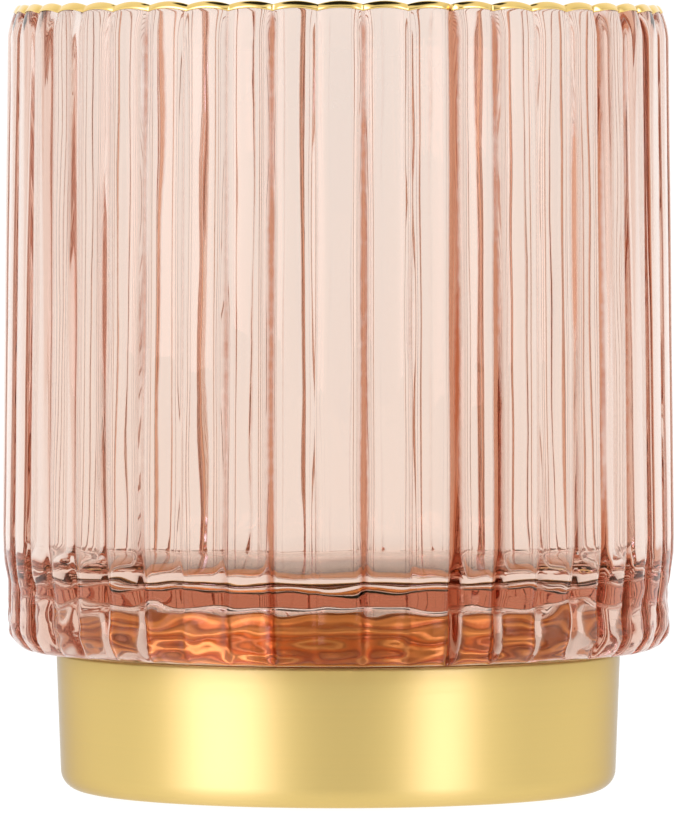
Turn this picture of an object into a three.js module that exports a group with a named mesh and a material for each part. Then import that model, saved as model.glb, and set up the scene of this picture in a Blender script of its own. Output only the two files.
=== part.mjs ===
// Bathroom tumbler: a ribbed glass with a gilded lip, bonded to a drawn metal base.
// Millimetres, +Z up. The origin is the middle of the foot, and the object stands on z = 0.
import * as THREE from 'three';

// Heights, from the surface that the tumbler stands on
const METAL_FOOT_Z = 0.3; // the foot pad stands this far below the metal
const BASE_TOP_Z = 16.7;
const GLASS_UNDERSIDE_Z = 17.0;
const GLASS_FLOOR_Z = 25.5;
const LIP_Z = 93.2;

// Glass: radii over the rib crests, and the wall inside them
const GLASS_RADIUS_AT_HEEL = 40.05;
const GLASS_RADIUS_AT_LIP = 39.35;
const HEEL_ROUNDING = 3.2;
const SHOULDER_HEIGHT = 4.4;
const BORE_RADIUS_AT_LIP = 36.4;
const BORE_RADIUS_AT_FLOOR = 36.0;
const FLOOR_FILLET = 5.0;
const HOLLOW_RADIUS = 31.5; // the hollow under the glass, which the boss of the seat fills
const HOLLOW_TOP_Z = 23.7;
const HOLLOW_CORNER = 2.4;
const LIP_CROWN_RADIUS = 37.85;
const CROWN_SOFTNESS = 0.4;

// Ribs: flat-faced, with a narrow groove between each two
const RIB_COUNT = 46;
const STEPS_PER_RIB = 3;
const GROOVE_DEPTH = 0.9;
const FIRST_GROOVE_DEG = 4.3;

// Gilding: a skin over the lip
const GILDING_GAP = 0.12;
const GILDING_THICKNESS = 0.15;
const GILDING_START = 0.55; // the share of the shoulder curve below the gold
const GILDED_INSIDE_STEPS = 1;

// Base: a drawn cup, and the seat that closes it, with a boss that rises into the glass
const BASE_TOP_RADIUS = 33.5;
const BASE_BOTTOM_RADIUS = 33.0;
const BASE_CORNER = 2.4;
const SHEET = 0.8;
const FIT_GAP = 0.3;
const FLANGE_DEPTH = 5.0;
const FLANGE_TOP_Z = 16.3;
const BOSS_RADIUS = HOLLOW_RADIUS - FIT_GAP;
const BOSS_TOP_Z = 23.2;
const GLUE_GAP = 0.1;
const GLUE_RADIUS = 26.0;

// Foot pad, in a shallow recess under the cup
const PAD_RADIUS = 27.0;
const PAD_THICKNESS = 1.1;
const RECESS_RADIUS = PAD_RADIUS + FIT_GAP;
const RECESS_Z = PAD_THICKNESS + FIT_GAP;

const ROUND_SEGMENTS = 64;
const ARC_STEPS = 3;

const FULL_TURN = 2 * Math.PI;
const QUARTER_TURN = Math.PI / 2;

const ROSE_GLASS = { color: 0xf1ddd4, roughness: 0.03, metalness: 0, transparent: true, opacity: 0.35 };
const GOLD_LUSTRE = { color: 0xd9ab45, roughness: 0.15, metalness: 1 };
const BRASS_PLATE = { color: 0xdcb65c, roughness: 0.25, metalness: 1 };
const CLEAR_GLUE = { color: 0xf6efe2, roughness: 0.3, metalness: 0 };
const GREY_FOAM = { color: 0x55524e, roughness: 0.95, metalness: 0 };

/** Points along a circular arc in the turning plane, both ends included. */
function arc(centreRadius, centreZ, rounding, fromAngle, toAngle) {
  return Array.from({ length: ARC_STEPS + 1 }, (_, step) => {
    const angle = THREE.MathUtils.lerp(fromAngle, toAngle, step / ARC_STEPS);
    return new THREE.Vector2(
      centreRadius + rounding * Math.cos(angle),
      centreZ + rounding * Math.sin(angle),
    );
  });
}

/** Turns an outline of radius and height about Z. Angle 0 faces -Y and angles grow towards +X. */
function turned(outline, segments = ROUND_SEGMENTS, startAngle = 0) {
  const geometry = new THREE.LatheGeometry(outline, segments, startAngle, FULL_TURN);
  return geometry.rotateX(QUARTER_TURN);
}

/** Turns an outline and presses the grooves into it, as deep as each point's share says. */
function ribbed(outline, grooveShares) {
  const segments = RIB_COUNT * STEPS_PER_RIB;
  const geometry = turned(outline, segments, THREE.MathUtils.degToRad(FIRST_GROOVE_DEG));
  const positions = geometry.getAttribute('position');
  for (let segment = 0; segment <= segments; segment += STEPS_PER_RIB) {
    outline.forEach((point, index) => {
      if (grooveShares[index] === 0) return;
      const vertex = segment * outline.length + index;
      const shrink = 1 - (GROOVE_DEPTH * grooveShares[index]) / point.x;
      positions.setX(vertex, positions.getX(vertex) * shrink);
      positions.setY(vertex, positions.getY(vertex) * shrink);
    });
  }
  return geometry;
}

/** Places along the lip, from the outside wall over the crown to the bore, with their directions. */
function lipStations() {
  const shoulder = new THREE.CubicBezierCurve(
    new THREE.Vector2(GLASS_RADIUS_AT_LIP, LIP_Z - SHOULDER_HEIGHT),
    new THREE.Vector2(GLASS_RADIUS_AT_LIP, LIP_Z - SHOULDER_HEIGHT / 2),
    new THREE.Vector2(LIP_CROWN_RADIUS + CROWN_SOFTNESS, LIP_Z),
    new THREE.Vector2(LIP_CROWN_RADIUS, LIP_Z),
  );
  const bare = [0, GILDING_START / 2];
  const gilded = Array.from({ length: ARC_STEPS + 1 }, (_, step) => (
    THREE.MathUtils.lerp(GILDING_START, 1, step / ARC_STEPS)
  ));
  const outside = [...bare, ...gilded].map((along) => ({
    point: shoulder.getPoint(along),
    tangent: shoulder.getTangent(along),
  }));
  const rounding = LIP_CROWN_RADIUS - BORE_RADIUS_AT_LIP;
  const inside = Array.from({ length: ARC_STEPS }, (_, step) => {
    const angle = QUARTER_TURN * (1 + (step + 1) / ARC_STEPS);
    const outward = new THREE.Vector2(Math.cos(angle), Math.sin(angle));
    const centre = new THREE.Vector2(LIP_CROWN_RADIUS, LIP_Z - rounding);
    return {
      point: centre.addScaledVector(outward, rounding),
      tangent: new THREE.Vector2(-outward.y, outward.x),
    };
  });
  return { outside, inside, bareSteps: bare.length };
}

/** How much of the groove's depth a radius gets: none at the rounding's foot, all of it at its top. */
function grooveShare(radius, noneAt, allAt) {
  return THREE.MathUtils.clamp((radius - noneAt) / (allAt - noneAt), 0, 1);
}

function lipShare(point) {
  return grooveShare(point.x, LIP_CROWN_RADIUS, GLASS_RADIUS_AT_LIP);
}

function glassTumbler() {
  const lip = lipStations();
  const heelRadius = GLASS_RADIUS_AT_HEEL - HEEL_ROUNDING;
  const heelZ = GLASS_UNDERSIDE_Z + HEEL_ROUNDING;
  const heel = arc(heelRadius, heelZ, HEEL_ROUNDING, -QUARTER_TURN, 0);
  const filletRadius = BORE_RADIUS_AT_FLOOR - FLOOR_FILLET;
  const fillet = arc(filletRadius, GLASS_FLOOR_Z + FLOOR_FILLET, FLOOR_FILLET, 0, -QUARTER_TURN);
  const ribbedWall = lip.outside.map((station) => station.point);
  const hollow = arc(
    HOLLOW_RADIUS - HOLLOW_CORNER, HOLLOW_TOP_Z - HOLLOW_CORNER, HOLLOW_CORNER, QUARTER_TURN, 0,
  );
  const outline = [
    new THREE.Vector2(0, HOLLOW_TOP_Z),
    ...hollow,
    new THREE.Vector2(HOLLOW_RADIUS, GLASS_UNDERSIDE_Z),
    ...heel,
    ...ribbedWall,
    ...lip.inside.map((station) => station.point),
    ...fillet,
    new THREE.Vector2(0, GLASS_FLOOR_Z),
  ];
  const shares = outline.map((point) => {
    if (heel.includes(point)) return grooveShare(point.x, heelRadius, GLASS_RADIUS_AT_HEEL);
    return ribbedWall.includes(point) ? lipShare(point) : 0;
  });
  return ribbed(outline, shares);
}

/** A thin closed skin that follows the shoulder and turns over the crown, clear of the glass. */
function rimGilding() {
  const lip = lipStations();
  const over = lip.inside.slice(0, GILDED_INSIDE_STEPS);
  const stations = [...lip.outside.slice(lip.bareSteps), ...over];
  const layer = (distance) => stations.map(({ point, tangent }) => (
    new THREE.Vector2(point.x + tangent.y * distance, point.y - tangent.x * distance)
  ));
  const shares = stations.map((station) => (
    over.includes(station) ? 0 : lipShare(station.point)
  ));
  const outline = [...layer(GILDING_GAP + GILDING_THICKNESS), ...layer(GILDING_GAP).reverse()];
  const outlineShares = [...shares, ...shares.toReversed()];
  outline.push(outline[0].clone());
  outlineShares.push(shares[0]);
  return ribbed(outline, outlineShares);
}

/** The drawn cup: plain outside wall, rounded bottom edge, and a recess for the pad below. */
function baseCup() {
  const bottomCorner = arc(
    BASE_BOTTOM_RADIUS - BASE_CORNER, METAL_FOOT_Z + BASE_CORNER, BASE_CORNER, -QUARTER_TURN, 0,
  );
  const edge = SHEET / 2;
  const topEdge = arc(BASE_TOP_RADIUS - edge, BASE_TOP_Z - edge, edge, 0, Math.PI);
  const floorTopZ = RECESS_Z + SHEET;
  const insideCorner = arc(
    BASE_BOTTOM_RADIUS - BASE_CORNER, floorTopZ + BASE_CORNER - SHEET, BASE_CORNER - SHEET,
    0, -QUARTER_TURN,
  );
  const outline = [
    new THREE.Vector2(0, RECESS_Z),
    new THREE.Vector2(RECESS_RADIUS, RECESS_Z),
    new THREE.Vector2(RECESS_RADIUS, METAL_FOOT_Z),
    ...bottomCorner,
    ...topEdge,
    ...insideCorner,
    new THREE.Vector2(0, floorTopZ),
  ];
  return turned(outline);
}

/** The seat: a flange inside the cup, and above it the boss that rises into the glass. */
function seatPlate() {
  const flangeRadius = BASE_BOTTOM_RADIUS - SHEET - FIT_GAP;
  const flangeFoot = FLANGE_TOP_Z - FLANGE_DEPTH;
  const cornerRadius = BOSS_RADIUS - HOLLOW_CORNER;
  const cornerZ = BOSS_TOP_Z - HOLLOW_CORNER;
  const outerCorner = arc(cornerRadius, cornerZ, HOLLOW_CORNER, 0, QUARTER_TURN);
  const innerCorner = arc(cornerRadius, cornerZ, HOLLOW_CORNER - SHEET, QUARTER_TURN, 0);
  const outline = [
    new THREE.Vector2(0, BOSS_TOP_Z - SHEET),
    ...innerCorner,
    new THREE.Vector2(BOSS_RADIUS - SHEET, flangeFoot),
    new THREE.Vector2(flangeRadius, flangeFoot),
    new THREE.Vector2(flangeRadius, FLANGE_TOP_Z),
    new THREE.Vector2(BOSS_RADIUS, FLANGE_TOP_Z),
    ...outerCorner,
    new THREE.Vector2(0, BOSS_TOP_Z),
  ];
  return turned(outline);
}

/** A plain disc between two heights. */
function disc(radius, bottomZ, topZ) {
  return turned([
    new THREE.Vector2(0, bottomZ),
    new THREE.Vector2(radius, bottomZ),
    new THREE.Vector2(radius, topZ),
    new THREE.Vector2(0, topZ),
  ]);
}

function named(name, geometry, finish) {
  const mesh = new THREE.Mesh(geometry, new THREE.MeshStandardMaterial(finish));
  mesh.name = name;
  return mesh;
}

const tumbler = new THREE.Group();
tumbler.add(
  named('glass_tumbler', glassTumbler(), ROSE_GLASS),
  named('rim_gilding', rimGilding(), GOLD_LUSTRE),
  named('glue_disc', disc(GLUE_RADIUS, BOSS_TOP_Z + GLUE_GAP, HOLLOW_TOP_Z - GLUE_GAP), CLEAR_GLUE),
  named('seat_plate', seatPlate(), BRASS_PLATE),
  named('base_cup', baseCup(), BRASS_PLATE),
  named('foot_pad', disc(PAD_RADIUS, 0, PAD_THICKNESS), GREY_FOAM),
);

export default tumbler;
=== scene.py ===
# %% [markdown]
# # A ribbed glass tumbler on a brass base
#
# The object is a bathroom tumbler: rose glass with upright ribs outside, a gilded lip, and a drawn
# brass-plated base bonded under it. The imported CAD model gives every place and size, so it is loaded
# first and is never changed. Each cell after this one makes one piece, one finish or one light.

# %% Load the frame
import math

import bpy
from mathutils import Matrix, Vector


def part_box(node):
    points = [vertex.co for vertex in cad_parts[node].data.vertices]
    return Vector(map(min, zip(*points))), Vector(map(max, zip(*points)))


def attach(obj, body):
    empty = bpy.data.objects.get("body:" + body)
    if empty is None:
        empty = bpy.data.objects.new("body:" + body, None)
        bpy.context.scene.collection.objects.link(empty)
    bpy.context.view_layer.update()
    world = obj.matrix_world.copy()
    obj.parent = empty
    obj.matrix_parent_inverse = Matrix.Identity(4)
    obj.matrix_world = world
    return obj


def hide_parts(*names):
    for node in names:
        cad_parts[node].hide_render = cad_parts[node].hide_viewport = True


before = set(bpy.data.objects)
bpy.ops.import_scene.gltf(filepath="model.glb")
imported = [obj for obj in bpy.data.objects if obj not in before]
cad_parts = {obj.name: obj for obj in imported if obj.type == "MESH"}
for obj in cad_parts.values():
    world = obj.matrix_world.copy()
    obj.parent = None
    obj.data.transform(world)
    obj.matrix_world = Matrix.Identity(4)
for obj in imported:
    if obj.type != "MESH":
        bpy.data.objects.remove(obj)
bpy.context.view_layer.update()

print("nodes in the frame:", sorted(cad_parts))

# %% [markdown]
# ## Sizes
#
# Blender counts in metres, and the drawing of a tumbler is easier to read in millimetres. The outer
# sizes are asked from the CAD boxes, so that the fine surfaces can't drift away from the solids.

# %% Sizes taken from the frame
MM = 0.001


def radius_of(node):
    """The widest circle that stays inside the node's box."""
    low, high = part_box(node)
    return min(high[0], high[1])


def bottom_of(node):
    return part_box(node)[0][2]


def top_of(node):
    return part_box(node)[1][2]


GLASS_RADIUS = radius_of("glass_tumbler")
GLASS_BOTTOM = bottom_of("glass_tumbler")
LIP_TOP = top_of("glass_tumbler")
BASE_RADIUS = radius_of("base_cup")
BASE_BOTTOM = bottom_of("base_cup")
BASE_TOP = top_of("base_cup")
BOSS_TOP = top_of("seat_plate")
FLANGE_TOP = 16.3 * MM
BEAD_PITCH = 1.3 * MM
print(f"glass {2000 * GLASS_RADIUS:.1f} mm across, lip at {1000 * LIP_TOP:.1f} mm")

# %% [markdown]
# ## A short way to write nodes
#
# A node tree reads best as a formula. One class wraps a socket, so that sums on sockets add Math
# nodes. The other holds a tree, and its first method adds any other node with its settings and the
# values of its sockets.

# %% Sockets that can be summed
class Wire:
    """A node's output that takes part in sums."""

    def __init__(self, socket):
        self.socket = socket

    def maths(self, operation, *others):
        return Bench(self.socket.id_data).add(
            "ShaderNodeMath", {"operation": operation}, {0: self, **dict(enumerate(others, 1))}
        )

    def flipped(self, operation, first):
        return Bench(self.socket.id_data).add(
            "ShaderNodeMath", {"operation": operation}, {0: first, 1: self}
        )

    def __add__(self, other):
        return self.maths("ADD", other)

    __radd__ = __add__

    def __sub__(self, other):
        return self.maths("SUBTRACT", other)

    def __rsub__(self, other):
        return self.flipped("SUBTRACT", other)

    def __mul__(self, other):
        return self.maths("MULTIPLY", other)

    __rmul__ = __mul__

    def __truediv__(self, other):
        return self.maths("DIVIDE", other)

    def __pow__(self, other):
        return self.maths("POWER", other)


class Bench:
    """A node tree on which nodes are laid out."""

    def __init__(self, tree):
        self.tree = tree

    def add(self, kind, settings=None, sockets=None, output=0):
        """Adds a node, sets it, feeds its sockets and returns the asked output."""
        node = self.tree.nodes.new(kind)
        for name, value in (settings or {}).items():
            if name == "stops":
                self.set_stops(node.color_ramp, value)
            else:
                setattr(node, name, value)
        for name, value in (sockets or {}).items():
            if isinstance(value, Wire):
                self.tree.links.new(value.socket, node.inputs[name])
            else:
                node.inputs[name].default_value = value
        return Wire(node.outputs[output])

    @staticmethod
    def set_stops(ramp, stops):
        while len(ramp.elements) < len(stops):
            ramp.elements.new(1.0)
        for element, (place, shade) in zip(ramp.elements, stops):
            element.position = place
            element.color = shade

    def split(self, vector):
        """The three parts of a vector."""
        node = self.tree.nodes.new("ShaderNodeSeparateXYZ")
        self.tree.links.new(vector.socket, node.inputs[0])
        return [Wire(part) for part in node.outputs]

    def joined(self, x, y, z):
        return self.add("ShaderNodeCombineXYZ", {}, {"X": x, "Y": y, "Z": z})

    def noise(self, spot, scale, detail=2.0, roughness=0.5):
        return self.add(
            "ShaderNodeTexNoise", {"noise_dimensions": "3D"},
            {"Vector": spot, "Scale": scale, "Detail": detail, "Roughness": roughness},
        )

    def between(self, value, low, high):
        """0 at low, 1 at high, and a soft passage from one to the other."""
        return self.add(
            "ShaderNodeMapRange", {"interpolation_type": "SMOOTHSTEP"},
            {"Value": value, "From Min": low, "From Max": high},
        )

    def blended(self, factor, first, second):
        """A colour between two colours."""
        return self.add(
            "ShaderNodeMix", {"data_type": "RGBA"}, {"Factor": factor, 6: first, 7: second}, output=2
        )


print("node helpers ready")

# %% [markdown]
# ## One tree that turns and ribs a section
#
# Glass and base are both round, so both follow one rule: a section of radius and height is turned
# about the axis. The glass mould also presses evenly spaced grooves into the outside. An old mould
# wears, so no groove is equally deep all the way down, and hot glass sags a little as it sets, which
# leaves long shallow ripples in the wall and short waves round the heel. A Screw modifier could turn
# a section, but it couldn't rib it. So one Geometry Nodes tree turns and ribs, and each piece brings
# its section and its numbers. Columns are bunched near the grooves, where the surface bends most.

# %% The turning tree
TREE_INPUTS = (
    ("Section", "NodeSocketGeometry"),
    ("Ribs", "NodeSocketInt"),
    ("Columns per Rib", "NodeSocketInt"),
    ("First Groove", "NodeSocketFloat"),
    ("Groove Depth", "NodeSocketFloat"),
    ("Groove Width", "NodeSocketFloat"),
    ("Face Crown", "NodeSocketFloat"),
    ("Lip Scallop", "NodeSocketFloat"),
    ("Bunching", "NodeSocketFloat"),
    ("Ripple", "NodeSocketFloat"),
    ("Heel Wave", "NodeSocketFloat"),
    ("Material", "NodeSocketMaterial"),
)
MERGE_DISTANCE = 1e-6
RIPPLE_SCALE = 190.0  # swells per metre round the wall
RIPPLE_STRETCH = 0.22  # how much slower the ripple changes up the wall
WAVE_SCALE = 170.0  # waves per metre round the heel
WAVE_SQUEEZE = 2  # how much faster they change up the heel
WEAR_SCALE = 4.0  # changes in groove depth round the mould
WEAR_STRETCH = 10.0  # and up it
CHANCE_START = 3.7  # picks which grooves come out deep
SHALLOWEST = 0.25  # share of the groove depth that every groove has
DEEPER = 2.1  # what the deepest grooves add to it
RARITY = 2.5  # the higher, the fewer deep grooves
# The glass finish reads this mark to paint shade into the grooves.
GROOVE_SHADE_MARK = "pooled"  # the mark of a groove, read again by the glass finish


def turning_tree():
    tree = bpy.data.node_groups.new("turned_and_ribbed", "GeometryNodeTree")
    for name, kind in TREE_INPUTS:
        tree.interface.new_socket(name, in_out="INPUT", socket_type=kind)
    tree.interface.new_socket("Geometry", in_out="OUTPUT", socket_type="NodeSocketGeometry")
    bench = Bench(tree)
    given = tree.nodes.new("NodeGroupInput")

    def asked(name):
        return Wire(given.outputs[name])

    rows = bench.add(
        "GeometryNodeAttributeDomainSize", {"component": "MESH"}, {"Geometry": asked("Section")}
    )
    columns = asked("Ribs") * asked("Columns per Rib")
    sheet = bench.add("GeometryNodeMeshGrid", {}, {"Vertices X": columns + 1, "Vertices Y": rows})
    index = bench.add("GeometryNodeInputIndex")
    column = (index / rows).maths("FLOOR")
    row = index - column * rows

    def sampled(kind, value):
        return bench.add(
            "GeometryNodeSampleIndex", {"data_type": kind, "domain": "POINT"},
            {"Geometry": asked("Section"), "Value": value, "Index": row},
        )

    def share(name):
        stored = bench.add("GeometryNodeInputNamedAttribute", {"data_type": "FLOAT"}, {"Name": name})
        return sampled("FLOAT", stored)

    place = sampled("FLOAT_VECTOR", bench.add("GeometryNodeInputPosition"))
    radius, _, height = bench.split(place)

    full_turn = 2 * math.pi
    across = column / asked("Columns per Rib")
    evenly = across.maths("FRACT")
    swing = (evenly * full_turn).maths("SINE") * asked("Bunching") / full_turn
    along_rib = evenly - swing
    turn = asked("First Groove") + (across.maths("FLOOR") + along_rib) / asked("Ribs") * full_turn
    sine, cosine = turn.maths("SINE"), turn.maths("COSINE")

    wear = bench.noise(bench.joined(sine, cosine, height * WEAR_STRETCH), WEAR_SCALE)
    groove = (across + 0.5).maths("FLOOR").maths("MODULO", asked("Ribs"))
    chance = bench.add("ShaderNodeTexWhiteNoise", {"noise_dimensions": "1D"}, {"W": groove + CHANCE_START})
    strength = wear * 2 * (SHALLOWEST + chance ** RARITY * DEEPER)
    from_groove = 0.5 - (along_rib - 0.5).maths("ABSOLUTE")
    bell = (0 - (from_groove / asked("Groove Width")) ** 2).maths("EXPONENT")
    crown = (1 - from_groove * 2) ** 2
    inset = bell * asked("Groove Depth") * strength + crown * asked("Face Crown")

    spot_x, spot_y = sine * radius, 0 - cosine * radius
    ripple = bench.noise(
        bench.joined(spot_x, spot_y, height * RIPPLE_STRETCH), RIPPLE_SCALE, detail=1.0
    )
    wave = bench.noise(
        bench.joined(spot_x, spot_y, height * WAVE_SQUEEZE), WAVE_SCALE, detail=1.0
    )
    pushed = (
        radius - inset * share("groove_share")
        - ripple * asked("Ripple") * share("ripple_share")
        - wave * asked("Heel Wave") * share("wave_share")
    )
    sunk = height - crown * asked("Lip Scallop") * share("sink_share")
    turned = bench.joined(sine * pushed, 0 - cosine * pushed, sunk)
    shaped = bench.add("GeometryNodeSetPosition", {}, {"Geometry": sheet, "Position": turned})
    marked = bench.add(
        "GeometryNodeStoreNamedAttribute", {"data_type": "FLOAT", "domain": "POINT"},
        {"Geometry": shaped, "Name": GROOVE_SHADE_MARK, "Value": bell * strength * share("groove_share")},
    )
    closed = bench.add(
        "GeometryNodeMergeByDistance", {}, {"Geometry": marked, "Distance": MERGE_DISTANCE}
    )
    smooth = bench.add("GeometryNodeSetShadeSmooth", {}, {0: closed})
    whole = bench.add("GeometryNodeRealizeInstances", {}, {0: smooth})
    finished = bench.add(
        "GeometryNodeSetMaterial", {}, {"Geometry": whole, "Material": asked("Material")}
    )
    leaving = tree.nodes.new("NodeGroupOutput")
    tree.links.new(finished.socket, leaving.inputs["Geometry"])
    return tree


TURNING = turning_tree()
print("turning tree:", len(TURNING.nodes), "nodes")

# %% [markdown]
# ## Sections
#
# A section is a list of points, each a radius and a height, that goes from the axis round the piece
# and back to the axis. A curve object could hold it, but arcs and straight runs keep true sizes, the
# way a draughtsman draws a turned part. Each point also carries four shares: how much groove, ripple,
# wave and lip scallop it takes.

# %% Drawing a section and turning it
def arc(centre, rounding, start, end, steps):
    """Points on an arc of the section; angles in degrees, 0 away from the axis and 90 up."""
    angles = [math.radians(start + (end - start) * step / steps) for step in range(steps + 1)]
    return [
        (centre[0] + rounding * math.cos(angle), centre[1] + rounding * math.sin(angle))
        for angle in angles
    ]


def straight(start, end, steps):
    """Evenly spaced points from start to end."""
    shares = [step / steps for step in range(steps + 1)]
    return [tuple(a + (b - a) * share for a, b in zip(start, end)) for share in shares]


SAME_POINT = 1e-7


def joined(*runs):
    """One outline out of several runs, without repeated points."""
    outline = []
    for point in (point for run in runs for point in run):
        if not outline or math.dist(outline[-1], point) > SAME_POINT:
            outline.append(point)
    return outline


def clamped(value, low, high):
    """0 at low, 1 at high, and never past either."""
    return min(max((value - low) / (high - low), 0.0), 1.0)


PLAIN_TURNING = {
    "Ribs": 1, "Columns per Rib": 192, "First Groove": 0.0, "Groove Depth": 0.0, "Groove Width": 1.0,
    "Face Crown": 0.0, "Lip Scallop": 0.0, "Bunching": 0.0, "Ripple": 0.0, "Heel Wave": 0.0,
}


def turned_piece(name, outline, material, rules=None, **numbers):
    """Turns an outline into a plain mesh; each rule gives the share of one effect at a point."""
    mesh = bpy.data.meshes.new(name)
    mesh.from_pydata([(radius, 0, height) for radius, height in outline], [], [])
    for attribute in ("groove_share", "ripple_share", "wave_share", "sink_share"):
        rule = (rules or {}).get(attribute)
        values = [rule(radius, height) if rule else 0.0 for radius, height in outline]
        mesh.attributes.new(attribute, "FLOAT", "POINT").data.foreach_set("value", values)
    piece = bpy.data.objects.new(name, mesh)
    bpy.context.scene.collection.objects.link(piece)
    modifier = piece.modifiers.new("turning", "NODES")
    modifier.node_group = TURNING
    chosen = {**PLAIN_TURNING, **numbers, "Material": material}
    for item in TURNING.interface.items_tree:
        if item.name in chosen:
            modifier[item.identifier] = chosen[item.name]
    shown = piece.evaluated_get(bpy.context.evaluated_depsgraph_get())
    finished = bpy.data.meshes.new_from_object(shown)
    finished.name = name
    piece.modifiers.clear()
    piece.data = finished
    print(name, "has", len(finished.polygons), "faces")
    return piece


# %% [markdown]
# ## Finishes
#
# Every finish is a node material that works on the piece's own coordinates, so it needs no picture.
# A material starts with an empty bench and ends in the output node.

# %% Starting and ending a material
def new_material(name):
    material = bpy.data.materials.new(name)
    material.use_nodes = True
    material.node_tree.nodes.clear()
    return material, Bench(material.node_tree)


def finish_material(bench, surface, volume=None):
    end = bench.tree.nodes.new("ShaderNodeOutputMaterial")
    bench.tree.links.new(surface.socket, end.inputs["Surface"])
    if volume:
        bench.tree.links.new(volume.socket, end.inputs["Volume"])


def own_place(bench):
    """Where on the piece a point is, in metres."""
    node = bench.tree.nodes.new("ShaderNodeTexCoord")
    return Wire(node.outputs["Object"])


# %% [markdown]
# ## Rose glass
#
# The glass is dyed through, so it darkens with the way that light goes inside it. A tinted surface
# alone would make the thick heel no darker than the thin wall, so a Volume Absorption node does it. A
# thin tint is fired on the outside as well. The turning tree's mark for each groove paints shade into
# the grooves, a deep red that stands for the dark lines that refraction draws there, and faces stay
# pale. The tint also warms what the surface mirrors, which is the job of the specular tint.

# %% Rose glass
GLASS_IOR = 1.52
ROSE_BODY = (0.71, 0.28, 0.07, 1)
ROSE_DENSITY = 36.0
ROSE_PALE = (0.926, 0.882, 0.850, 1)
ROSE_DEEP = (0.940, 0.880, 0.834, 1)
# painted shade for the grooves, standing for the dark lines that refraction draws there
ROSE_PAINTED_GROOVE_SHADE = (0.48, 0.14, 0.065, 1)
ROSE_MIRROR = (0.60, 0.35, 0.18, 1)
CLOUD_SCALE = 30.0  # broad patches in the tint
STREAK_SCALE = 900.0  # fine ones in the grooves
SKIN_SCALE = 260.0  # unevenness of the fire-polished surface
HEIGHT_SHARE = 0.7  # how much of the deeper tint comes from the height, the rest from patches
# where the painted groove shade starts and where it is full
GROOVE_SHADE_FROM, GROOVE_SHADE_FULL = 0.1, 0.85


def rose_glass():
    material, bench = new_material("rose_glass")
    place = own_place(bench)
    height = bench.split(place)[2]
    cloud = bench.noise(place, CLOUD_SCALE)
    low = 1 - bench.between(height, GLASS_BOTTOM, LIP_TOP)
    depth = low * HEIGHT_SHARE + cloud * (1 - HEIGHT_SHARE)
    even = bench.blended(depth, ROSE_PALE, ROSE_DEEP)
    # Painted shade: the grooves take a deep red, broken by fine streaks, for the dark lines that
    # refraction draws in them.
    pooled = bench.add("ShaderNodeAttribute", {"attribute_name": GROOVE_SHADE_MARK}, output=2)
    streaks = bench.noise(place, STREAK_SCALE, detail=1.0)
    painted_groove_shade = bench.between(pooled * (0.7 + streaks * 0.6), GROOVE_SHADE_FROM, GROOVE_SHADE_FULL)
    skin = bench.noise(place, SKIN_SCALE, detail=1.0)
    polished = bench.add(
        "ShaderNodeBump", {}, {"Strength": 0.02, "Distance": 0.2 * MM, "Height": skin}
    )
    surface = bench.add(
        "ShaderNodeBsdfPrincipled", {},
        {"Base Color": bench.blended(painted_groove_shade, even, ROSE_PAINTED_GROOVE_SHADE), "Roughness": 0.0,
         "IOR": GLASS_IOR, "Transmission Weight": 1.0, "Specular Tint": ROSE_MIRROR,
         "Normal": polished},
    )
    body = bench.add(
        "ShaderNodeVolumeAbsorption", {}, {"Color": ROSE_BODY, "Density": ROSE_DENSITY}
    )
    finish_material(bench, surface, body)
    return material


ROSE_GLASS = rose_glass()
print("made", ROSE_GLASS.name)

# %% [markdown]
# ## Spun and fired gold
#
# The base is spun and polished while it turns, so its finest scratches run round it. They stretch
# each highlight up and down the wall. Modelled scratches would need millions of faces, so an
# anisotropic value, turned by a quarter, does the stretching, and noise squeezed in height gives the
# scratches. The boss is never polished again, so its valleys are tarnished. The lip is different:
# liquid gold is brushed on and fired, so it is glossier, and cloudy where the brush left more of it.

# %% Gold and brass
BRASS_EDGE = (0.55, 0.50, 0.45, 1)  # darkens the wall where it turns away
TARNISH = (0.55, 0.16, 0.025, 1)
LUSTRE_THIN = (0.84, 0.55, 0.16, 1)
LUSTRE_THICK = (0.93, 0.70, 0.26, 1)
SCRATCH_RUN, SCRATCH_CROSS = 12, 2600  # changes per metre along the scratches and across them
STAIN_SCALE = 55.0
STAIN_STRETCH = 0.6
DARKER, LIGHTER = 0.93, 1.05
BRUSH_SCALE = 420.0


def spun_brass(name, color, roughness, spun, beads=False):
    material, bench = new_material(name)
    x, y, z = bench.split(own_place(bench))
    grain = bench.joined(x * SCRATCH_RUN, y * SCRATCH_RUN, z * SCRATCH_CROSS)
    scratches = bench.noise(grain, 1.0, detail=3.0)
    stain = bench.noise(bench.joined(x, y, z * STAIN_STRETCH), STAIN_SCALE)
    darker = tuple(part * DARKER for part in color[:3]) + (1,)
    lighter = tuple(min(part * LIGHTER, 1.0) for part in color[:3]) + (1,)
    worked = bench.add(
        "ShaderNodeBump", {}, {"Strength": 0.06, "Distance": 0.02 * MM, "Height": scratches}
    )
    shade = bench.blended(stain * 0.6 + scratches * 0.4, darker, lighter)
    if beads:
        swing = ((z - FLANGE_TOP) * (2 * math.pi / BEAD_PITCH)).maths("COSINE")
        shade = bench.blended(bench.between(swing + (stain - 0.5) * 2, -0.3, 1.0), shade, TARNISH)
    surface = bench.add(
        "ShaderNodeBsdfPrincipled", {},
        {"Base Color": shade,
         "Roughness": roughness + (scratches - 0.5) * 0.08 + (stain - 0.5) * 0.05,
         "Metallic": 1.0, "Anisotropic": spun, "Anisotropic Rotation": 0.25,
         "Specular Tint": BRASS_EDGE, "Coat Weight": 0.3, "Coat Roughness": 0.12,
         "Normal": worked},
    )
    finish_material(bench, surface)
    return material


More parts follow.
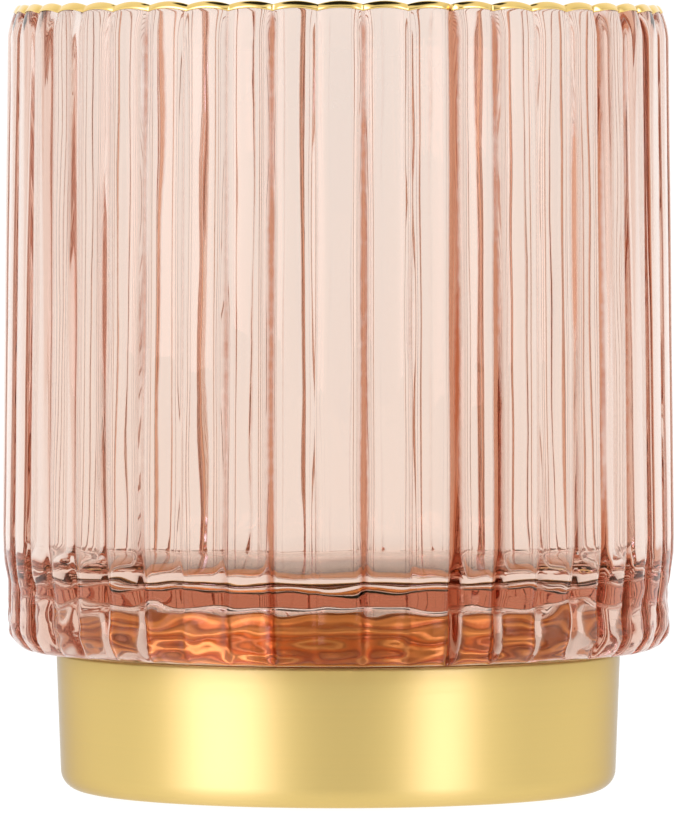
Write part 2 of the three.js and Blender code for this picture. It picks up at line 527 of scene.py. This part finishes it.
def fired_gold(name, thin, thick):
    material, bench = new_material(name)
    place = own_place(bench)
    brushed = bench.noise(place, BRUSH_SCALE, detail=3.0)
    surface = bench.add(
        "ShaderNodeBsdfPrincipled", {},
        {"Base Color": bench.blended(brushed, thin, thick), "Metallic": 1.0,
         "Roughness": 0.04 + brushed * 0.08},
    )
    finish_material(bench, surface)
    return material


BRASS_WALL = spun_brass("brass_wall", (0.83, 0.61, 0.21, 1), roughness=0.4, spun=0.95)
BRASS_SEAT = spun_brass(
    "brass_seat", (0.97, 0.43, 0.10, 1), roughness=0.45, spun=0.0, beads=True
)
GOLD_LUSTRE = fired_gold("gold_lustre", LUSTRE_THIN, LUSTRE_THICK)
print("made", BRASS_WALL.name, BRASS_SEAT.name, GOLD_LUSTRE.name)

# %% [markdown]
# ## Glue and foam
#
# The glue is a clear resin with cloudy spots where air got in. The pad under the foot is closed-cell
# foam: matte, speckled, and finely pitted. Its cells are too small to model, so a bump from a Voronoi
# texture gives them.

# %% Glue and foam
RESIN_CLEAR = (0.98, 0.95, 0.88, 1)
RESIN_CLOUDY = (0.93, 0.86, 0.72, 1)
RESIN_SCALE = 140.0
FOAM_DARK = (0.07, 0.067, 0.063, 1)
FOAM_PALE = (0.13, 0.125, 0.12, 1)
CELL_SCALE = 1600.0
SPECKLE_SCALE = 900.0


def clear_resin():
    material, bench = new_material("clear_glue")
    cloud = bench.noise(own_place(bench), RESIN_SCALE, detail=3.0)
    surface = bench.add(
        "ShaderNodeBsdfPrincipled", {},
        {"Base Color": bench.blended(cloud, RESIN_CLEAR, RESIN_CLOUDY),
         "Roughness": 0.05 + cloud * 0.25, "IOR": GLASS_IOR, "Transmission Weight": 1.0},
    )
    finish_material(bench, surface)
    return material


def closed_foam():
    material, bench = new_material("grey_foam")
    place = own_place(bench)
    cells = bench.add("ShaderNodeTexVoronoi", {}, {"Vector": place, "Scale": CELL_SCALE})
    speckle = bench.noise(place, SPECKLE_SCALE)
    pitted = bench.add(
        "ShaderNodeBump", {}, {"Strength": 0.4, "Distance": 0.1 * MM, "Height": cells}
    )
    surface = bench.add(
        "ShaderNodeBsdfPrincipled", {},
        {"Base Color": bench.blended(speckle, FOAM_DARK, FOAM_PALE),
         "Roughness": 0.85 + speckle * 0.12, "Normal": pitted},
    )
    finish_material(bench, surface)
    return material


CLEAR_GLUE = clear_resin()
GREY_FOAM = closed_foam()
print("made", CLEAR_GLUE.name, GREY_FOAM.name)

# %% [markdown]
# ## The glass
#
# Pressed glass comes out of a ribbed mould, so it is ribbed outside and smooth inside. Its heel is
# thick and hollow underneath: a gold boss rises into the hollow, and shows through the ribs as a
# wavy gold band. Grooves could be cut with booleans, but a turned sheet keeps its faces even, and
# clear glass shows every uneven one. The grooves only go inwards from the CAD solid's outside.

# %% The glass tumbler
RIBS = 46
FIRST_GROOVE = math.radians(4.3)
GROOVES = {
    "Ribs": RIBS, "Columns per Rib": 14, "First Groove": FIRST_GROOVE, "Bunching": 0.75,
    "Groove Depth": 0.85 * MM, "Groove Width": 0.10, "Face Crown": 0.22 * MM,
    "Lip Scallop": 0.42 * MM,
}
HEEL_ROUNDING = 3.2 * MM
LIP_RADIUS = GLASS_RADIUS - 0.7 * MM
CROWN_RADIUS = 37.85 * MM
CROWN_SOFTNESS = 0.4 * MM
SHOULDER = 4.4 * MM
BORE_AT_LIP = 36.4 * MM
BORE_AT_FLOOR = 36.0 * MM
FLOOR_TOP = 25.5 * MM
FLOOR_FILLET = 5.0 * MM
LIP_ROUNDING = CROWN_RADIUS - BORE_AT_LIP
HOLLOW_RADIUS = 31.5 * MM
HOLLOW_TOP = BOSS_TOP + 0.5 * MM
HOLLOW_CORNER = 1.4 * MM
MOUTH_ROUNDING = 0.5 * MM
TIGHTEST_CORNER = 0.2 * MM
FLOOR_DOME = 0.2 * MM
LOW_WALL = 3 * MM  # how far above the floor the wall is cut finely, for the waves
WAVE_END, WAVE_FADE = 4 * MM, 5 * MM
BEND_STEPS, ROUND_STEPS, SHOULDER_STEPS = 10, 12, 14


def hollow_run(inward, foot):
    """The hollow under the glass, from the axis to its foot, or a run that lies inside it."""
    radius, top = HOLLOW_RADIUS - inward, HOLLOW_TOP - inward
    corner = max(HOLLOW_CORNER - inward, TIGHTEST_CORNER)
    bend = arc((radius - corner, top - corner), corner, 90, 0, BEND_STEPS)
    flat = straight((12 * MM, top), bend[0], 2)
    return joined([(0, top)], flat, bend, straight(bend[-1], (radius, foot), 4))


def shoulder_run(steps):
    """The outside of the lip, from the wall to the crown, as a Bezier curve."""
    ends = [
        (LIP_RADIUS, LIP_TOP - SHOULDER),
        (LIP_RADIUS, LIP_TOP - SHOULDER / 2),
        (CROWN_RADIUS + CROWN_SOFTNESS, LIP_TOP),
        (CROWN_RADIUS, LIP_TOP),
    ]
    run = []
    for step in range(steps + 1):
        t = step / steps
        weights = ((1 - t) ** 3, 3 * t * (1 - t) ** 2, 3 * t * t * (1 - t), t ** 3)
        run.append(tuple(sum(w * end[axis] for w, end in zip(weights, ends)) for axis in (0, 1)))
    return run


def glass_outline():
    mouth = arc(
        (HOLLOW_RADIUS + MOUTH_ROUNDING, GLASS_BOTTOM + MOUTH_ROUNDING), MOUTH_ROUNDING, 180, 270, 3
    )
    heel_middle = (GLASS_RADIUS - HEEL_ROUNDING, GLASS_BOTTOM + HEEL_ROUNDING)
    heel = arc(heel_middle, HEEL_ROUNDING, -90, 0, ROUND_STEPS)
    low_wall = straight(heel[-1], (heel[-1][0], FLOOR_TOP + LOW_WALL), ROUND_STEPS)
    shoulder = shoulder_run(SHOULDER_STEPS)
    inside_lip = arc((CROWN_RADIUS, LIP_TOP - LIP_ROUNDING), LIP_ROUNDING, 90, 180, 8)
    fillet_middle = (BORE_AT_FLOOR - FLOOR_FILLET, FLOOR_TOP + FLOOR_FILLET)
    fillet = arc(fillet_middle, FLOOR_FILLET, 0, -90, ROUND_STEPS)
    return joined(
        hollow_run(0, mouth[0][1]), mouth, heel, low_wall,
        straight(low_wall[-1], shoulder[0], 26), shoulder,
        inside_lip, straight(inside_lip[-1], fillet[0], 18), fillet,
        straight(fillet[-1], (0, FLOOR_TOP + FLOOR_DOME), 3),
    )


def glass_grooves(radius, height):
    if height < GLASS_BOTTOM + HEEL_ROUNDING:
        return clamped(radius, GLASS_RADIUS - HEEL_ROUNDING, GLASS_RADIUS)
    return clamped(radius, CROWN_RADIUS, LIP_RADIUS)


def glass_ripple(radius, height):
    away_from_axis = clamped(radius, 0.8 * BORE_AT_FLOOR, BORE_AT_FLOOR)
    return away_from_axis * clamped(LIP_TOP - height, 0, SHOULDER)


def glass_wave(radius, height):
    outside = clamped(radius, BORE_AT_LIP, LIP_RADIUS)
    return outside * clamped(FLOOR_TOP + WAVE_END - height, 0, WAVE_FADE)


def lip_sink(radius, height):
    if radius < BORE_AT_LIP + 0.2 * MM:
        return 0.0
    return clamped(height, LIP_TOP - SHOULDER, LIP_TOP)


glass = turned_piece(
    "ribbed_glass", glass_outline(), ROSE_GLASS,
    {"groove_share": glass_grooves, "ripple_share": glass_ripple, "wave_share": glass_wave,
     "sink_share": lip_sink},
    **{**GROOVES, "Ripple": 0.12 * MM, "Heel Wave": 1.2 * MM},
)

# %% [markdown]
# ## The gilding
#
# The gold covers the crown of the lip and dips into each groove, so both its edges are scalloped.
# Gold faces of the glass itself would have no lower edge of their own, so the gilding is a thin piece,
# turned from the lip's own curve with the same grooves, a hair outside the glass.

# %% The gilded lip
GILDING_GAP = 0.03 * MM
GILDING_THICKNESS = 0.1 * MM
GILDED_STEPS = 9  # steps down the shoulder that stay bare


def raised(run, distance):
    """The run moved sideways by a distance, to the right of the way it goes."""
    out = []
    for index, (radius, height) in enumerate(run):
        before, after = run[max(index - 1, 0)], run[min(index + 1, len(run) - 1)]
        along = (after[0] - before[0], after[1] - before[1])
        length = math.hypot(*along)
        out.append((radius + along[1] / length * distance, height - along[0] / length * distance))
    return out


over_crown = arc((CROWN_RADIUS, LIP_TOP - LIP_ROUNDING), LIP_ROUNDING, 90, 135, 4)
gilded_run = joined(shoulder_run(SHOULDER_STEPS)[GILDED_STEPS:], over_crown)
outer_run = raised(gilded_run, GILDING_GAP + GILDING_THICKNESS)
inner_run = raised(gilded_run, GILDING_GAP)
gilding = turned_piece(
    "lip_gilding", outer_run + inner_run[::-1] + outer_run[:1], GOLD_LUSTRE,
    {"groove_share": glass_grooves, "sink_share": lip_sink}, **GROOVES,
)

# %% [markdown]
# ## The base
#
# The base is drawn from one sheet: a cup with a rounded bottom corner, a slight taper and a rolled
# top edge, with a shallow recess for the foot pad. The seat is a second drawing inside it. Its flange
# fits the cup, and its boss rises into the hollow of the glass, where the glue holds it. Solidify
# could thicken a single curve, but both faces are drawn, so that each edge is as round as it should be.

# %% Base, seat, glue and pad
SHEET = 0.8 * MM
BASE_CORNER = 2.4 * MM
TAPER = 0.5 * MM
FIT = 0.3 * MM
RECESS_RADIUS = radius_of("foot_pad") + FIT
RECESS_TOP = top_of("foot_pad") + FIT
FLANGE_EDGE = 0.3 * MM
BEADS = 4
BEAD_DEPTH = 0.45 * MM
GLUE_EDGE = 0.12 * MM
PAD_EDGE = 0.3 * MM
EDGE_STEPS = 4
BOSS_GAP = HOLLOW_TOP - BOSS_TOP


def base_outline():
    low_radius = BASE_RADIUS - TAPER
    corner = arc((low_radius - BASE_CORNER, BASE_BOTTOM + BASE_CORNER), BASE_CORNER, -90, 0, BEND_STEPS)
    edge = SHEET / 2
    rim = arc((BASE_RADIUS - edge, BASE_TOP - edge), edge, 0, 180, ROUND_STEPS)
    floor_top = RECESS_TOP + SHEET
    inner_corner = BASE_CORNER - SHEET
    inner = arc((low_radius - BASE_CORNER, floor_top + inner_corner), inner_corner, 0, -90, 6)
    return joined(
        [(0, RECESS_TOP), (RECESS_RADIUS, RECESS_TOP), (RECESS_RADIUS, BASE_BOTTOM)],
        corner, straight(corner[-1], rim[0], 6), rim, inner, [(0, floor_top)],
    )


def beaded(foot):
    """The side of the boss, from its foot up, with rolled beads that give the glue a grip."""
    run = []
    for step in range(BEADS * BEND_STEPS + 1):
        beads_up = step / BEND_STEPS
        dip = BEAD_DEPTH * (0.5 + 0.5 * math.cos(2 * math.pi * beads_up))
        run.append((HOLLOW_RADIUS - BOSS_GAP - dip, foot + BEAD_PITCH * beads_up))
    return run


def seat_outline():
    foot = bottom_of("seat_plate")
    flange_radius = radius_of("seat_plate")
    inside = hollow_run(BOSS_GAP + SHEET + BEAD_DEPTH, foot)
    side = beaded(FLANGE_TOP)
    corner = BOSS_TOP - side[-1][1]
    bend = arc((side[-1][0] - corner, side[-1][1]), corner, 0, 90, BEND_STEPS)
    edge_middle = (flange_radius - FLANGE_EDGE, FLANGE_TOP - FLANGE_EDGE)
    edge = arc(edge_middle, FLANGE_EDGE, 0, 90, EDGE_STEPS)
    return joined(inside, [(flange_radius, foot)], edge, side, bend, [(0, BOSS_TOP)])


def disc_outline(radius, low, high, edge):
    """A flat disc with both its edges rounded."""
    return joined(
        [(0, low)], arc((radius - edge, low + edge), edge, -90, 0, EDGE_STEPS),
        arc((radius - edge, high - edge), edge, 0, 90, EDGE_STEPS), [(0, high)],
    )


base = turned_piece("drawn_base", base_outline(), BRASS_WALL)
seat = turned_piece("seat_and_boss", seat_outline(), BRASS_SEAT)
glue = turned_piece(
    "glue_layer",
    disc_outline(radius_of("glue_disc"), bottom_of("glue_disc"), top_of("glue_disc"), GLUE_EDGE),
    CLEAR_GLUE,
)
pad = turned_piece(
    "non_slip_pad", disc_outline(radius_of("foot_pad"), 0, top_of("foot_pad"), PAD_EDGE), GREY_FOAM,
)

# %% [markdown]
# ## Who rides on what
#
# Nothing on a tumbler moves, so every piece rides on the root. Each stands in for its CAD solid, which
# is hidden.

# %% Tie the pieces to the frame
for piece, node, slot in (
    (glass, "glass_tumbler", "rose_glass"),
    (gilding, "rim_gilding", "gold_lustre"),
    (glue, "glue_disc", "clear_glue"),
    (seat, "seat_plate", "brass_plate"),
    (base, "base_cup", "brass_plate"),
    (pad, "foot_pad", "grey_foam"),
):
    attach(piece, "root")
    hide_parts(node)
    print(piece.name, "stands in for", node)

# %% [markdown]
# ## The studio
#
# Clear glass only shows what is behind it, so the floor and the far side of the studio are plain
# white and equally bright. Metal shows what is in front of it: two tall soft boxes stand to the left
# and right of the camera, with a dim gap between them, and they draw the two bright bands on the
# base. Their light is a little cooler than the rest, and the roof is open, which draws the thin dark
# line on the gilded lip. Area lights would leave hard shapes in the glass, so the studio is a sky
# that depends only on direction, and its levels are read from one table.

# %% Floor
FLOOR_HALF_WIDTH = 6.0
FLOOR_SHADE = (0.12, 0.12, 0.12, 1)
FLOOR_GLOW = (0.975, 0.975, 0.958, 1)  # brings it level with the sky behind
floor_mesh = bpy.data.meshes.new("floor")
corners = [(-1, -1), (1, -1), (1, 1), (-1, 1)]
floor_mesh.from_pydata(
    [(x * FLOOR_HALF_WIDTH, y * FLOOR_HALF_WIDTH, 0) for x, y in corners], [], [(0, 1, 2, 3)]
)
floor = bpy.data.objects.new("floor", floor_mesh)
bpy.context.scene.collection.objects.link(floor)
floor_paint, bench = new_material("floor_paint")
finish_material(bench, bench.add(
    "ShaderNodeBsdfPrincipled", {},
    {"Base Color": FLOOR_SHADE, "Roughness": 0.7, "Specular IOR Level": 0.0,
     "Emission Color": FLOOR_GLOW, "Emission Strength": 1.0},
))
floor_mesh.materials.append(floor_paint)
print("floor laid")

# %% Sky
SKY_LEVELS = (  # degrees round from the camera, growing to its right, and the brightness there
    (-180, 1.10), (-150, 1.10), (-135, 1.10), (-112, 0.95), (-97, 0.85), (-78, 1.2), (-58, 4.4),
    (-38, 4.0), (-22, 1.0), (-8, 0.42), (12, 0.4), (26, 0.9), (41, 3.9), (50, 3.6), (63, 1.2),
    (84, 0.7), (108, 0.85), (135, 1.10), (150, 1.10), (180, 1.10),
)
BOX_FROM = 1.5  # levels above this belong to the soft boxes, whose light is cooler
BOX_BLUE = 1.45
BRIGHTEST = 10.0
OVERHEAD = 1.0
OVERHEAD_FROM, OVERHEAD_FULL = 0.5, 0.85  # heights on the sky, where 1 is straight up
ZENITH = 0.02
ZENITH_FROM, ZENITH_FULL = 0.88, 0.93


def sky_shade(level, blue=1.0):
    """A level as a colour that fits into the table."""
    share = level / BRIGHTEST
    return (share, share, share * blue, 1)


def studio_sky():
    world = bpy.data.worlds.new("studio")
    world.use_nodes = True
    world.node_tree.nodes.clear()
    bench = Bench(world.node_tree)
    direction = bench.add("ShaderNodeTexCoord")
    x, y, z = bench.split(direction)
    azimuth = x.maths("ARCTAN2", 0 - y) * (180 / math.pi)
    stops = []
    for angle, level in SKY_LEVELS:
        blue = BOX_BLUE if level > BOX_FROM else 1
        stops.append(((angle + 180) / 360, sky_shade(level, blue)))
    side = bench.add("ShaderNodeValToRGB", {"stops": stops}, {"Fac": azimuth / 360 + 0.5})
    roof = bench.between(z, OVERHEAD_FROM, OVERHEAD_FULL)
    shade = bench.blended(roof, side, sky_shade(OVERHEAD))
    opening = bench.between(z, ZENITH_FROM, ZENITH_FULL)
    shade = bench.blended(opening, shade, sky_shade(ZENITH))
    sky = bench.add("ShaderNodeBackground", {}, {"Color": shade, "Strength": BRIGHTEST})
    end = bench.tree.nodes.new("ShaderNodeOutputWorld")
    bench.tree.links.new(sky.socket, end.inputs["Surface"])
    return world


bpy.context.scene.world = studio_sky()
print("sky has", len(SKY_LEVELS), "levels")

# %% [markdown]
# ## The camera
#
# The tumbler is seen from the front and a little above its middle, from about a metre away with a
# long lens, so the lip and the foot are both nearly straight. Light crosses many faces in ribbed
# glass, so a path may bend more often than Blender's default allows.

# %% Camera
CAMERA_PLACE = (0.00015, -1.0, 0.078)
CAMERA_PITCH = math.radians(1.87)
lens = bpy.data.cameras.new("camera")
lens.lens = 370
lens.sensor_width = 36
lens.clip_start = 0.05
lens.clip_end = 50
camera = bpy.data.objects.new("camera", lens)
bpy.context.scene.collection.objects.link(camera)
camera.location = CAMERA_PLACE
camera.rotation_euler = (math.pi / 2 - CAMERA_PITCH, 0, 0)
bpy.context.scene.camera = camera
bpy.context.scene.view_settings.view_transform = "Standard"
bpy.context.scene.cycles.max_bounces = 32
bpy.context.scene.cycles.transmission_bounces = 32
bpy.context.scene.cycles.glossy_bounces = 16
print("camera at", CAMERA_PLACE)
